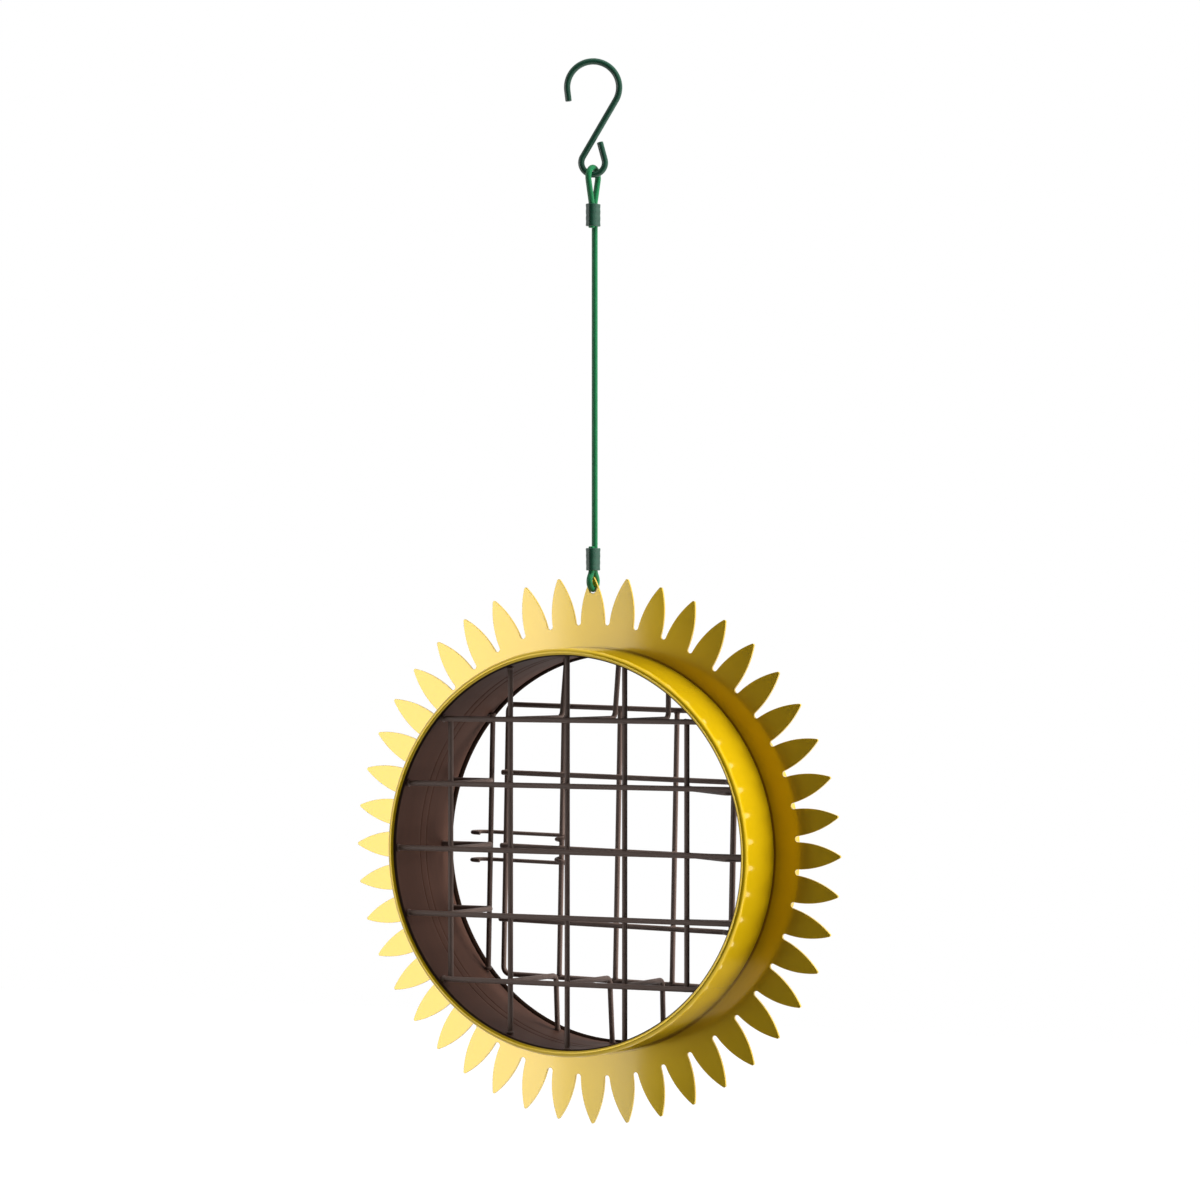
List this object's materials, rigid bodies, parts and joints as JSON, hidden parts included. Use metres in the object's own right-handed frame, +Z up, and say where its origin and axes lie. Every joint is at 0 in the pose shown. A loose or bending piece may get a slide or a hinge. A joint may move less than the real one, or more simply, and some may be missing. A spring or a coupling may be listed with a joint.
{
  "type": "hanging bird feeder",
  "caption": "Hanging suet feeder: an open drum in a ring of flower petals, a wire cage with a hinged and latched wire door, on a coated cable with an S-hook.",
  "frame": {"origin": "the highest point inside the upper bow of the S-hook, where the hook rests on its branch", "axes": "+Z up, -Y towards the front of the feeder (the grid side), +X to the right seen from the front"},
  "size_m": [0.2544, 0.057, 0.4952],
  "materials": {
    "yellow_paint": "glossy golden yellow paint",
    "brown_paint": "satin brown paint",
    "green_coating": "satin green plastic coat over steel strand",
    "dark_green_paint": "semi-gloss dark green paint"
  },
  "bodies": {
    "hook": {"s_hook": "dark_green_paint"},
    "hanger": {"hanger_cable": "green_coating", "upper_ferrule": "dark_green_paint", "lower_ferrule": "dark_green_paint"},
    "feeder": {"petal_plate": "yellow_paint", "drum_shell": "yellow_paint", "drum_liner": "brown_paint", "front_row_1": "brown_paint", "front_row_2": "brown_paint", "front_row_3": "brown_paint", "front_row_4": "brown_paint", "front_row_5": "brown_paint", "front_column_1": "brown_paint", "front_column_2": "brown_paint", "front_column_3": "brown_paint", "front_column_4": "brown_paint", "front_column_5": "brown_paint", "tie_top_1": "brown_paint", "tie_top_2": "brown_paint", "tie_top_3": "brown_paint", "tie_bottom_1": "brown_paint", "tie_bottom_2": "brown_paint", "tie_bottom_3": "brown_paint", "tie_left_1": "brown_paint", "tie_left_2": "brown_paint", "tie_left_3": "brown_paint", "tie_right_1": "brown_paint", "tie_right_2": "brown_paint", "tie_right_3": "brown_paint", "hinge_post": "brown_paint", "latch_post": "brown_paint"},
    "door": {"door_frame": "brown_paint", "door_column_1": "brown_paint", "door_column_2": "brown_paint", "door_column_3": "brown_paint", "door_row_1": "brown_paint", "door_row_2": "brown_paint", "door_row_3": "brown_paint"},
    "latch": {"latch_clip": "brown_paint"}
  },
  "joints": [
    {"name": "hanger_swing", "type": "hinge", "parent": "hook", "child": "hanger", "pos_m": [0, 0, -0.0511], "axis": [0.8829, 0.4695, 0], "range_deg": [-45, 45]},
    {"name": "feeder_rock", "type": "hinge", "parent": "hanger", "child": "feeder", "pos_m": [0, 0, -0.2439], "axis": [0, 1, 0], "range_deg": [-45, 45]},
    {"name": "door_swing", "type": "hinge", "parent": "feeder", "child": "door", "pos_m": [0.06199, 0.0217, -0.3664], "axis": [-0.0209, 0, -0.9998], "range_deg": [0, 90]},
    {"name": "latch_swing", "type": "hinge", "parent": "door", "child": "latch", "pos_m": [-0.02999, 0.0245, -0.36447], "axis": [-0.0209, 0, -0.9998], "range_deg": [0, 126]}
  ],
  "couplings": [
    {"joint": "latch_swing", "follows": "door_swing", "ratio": 1.4}
  ]
}
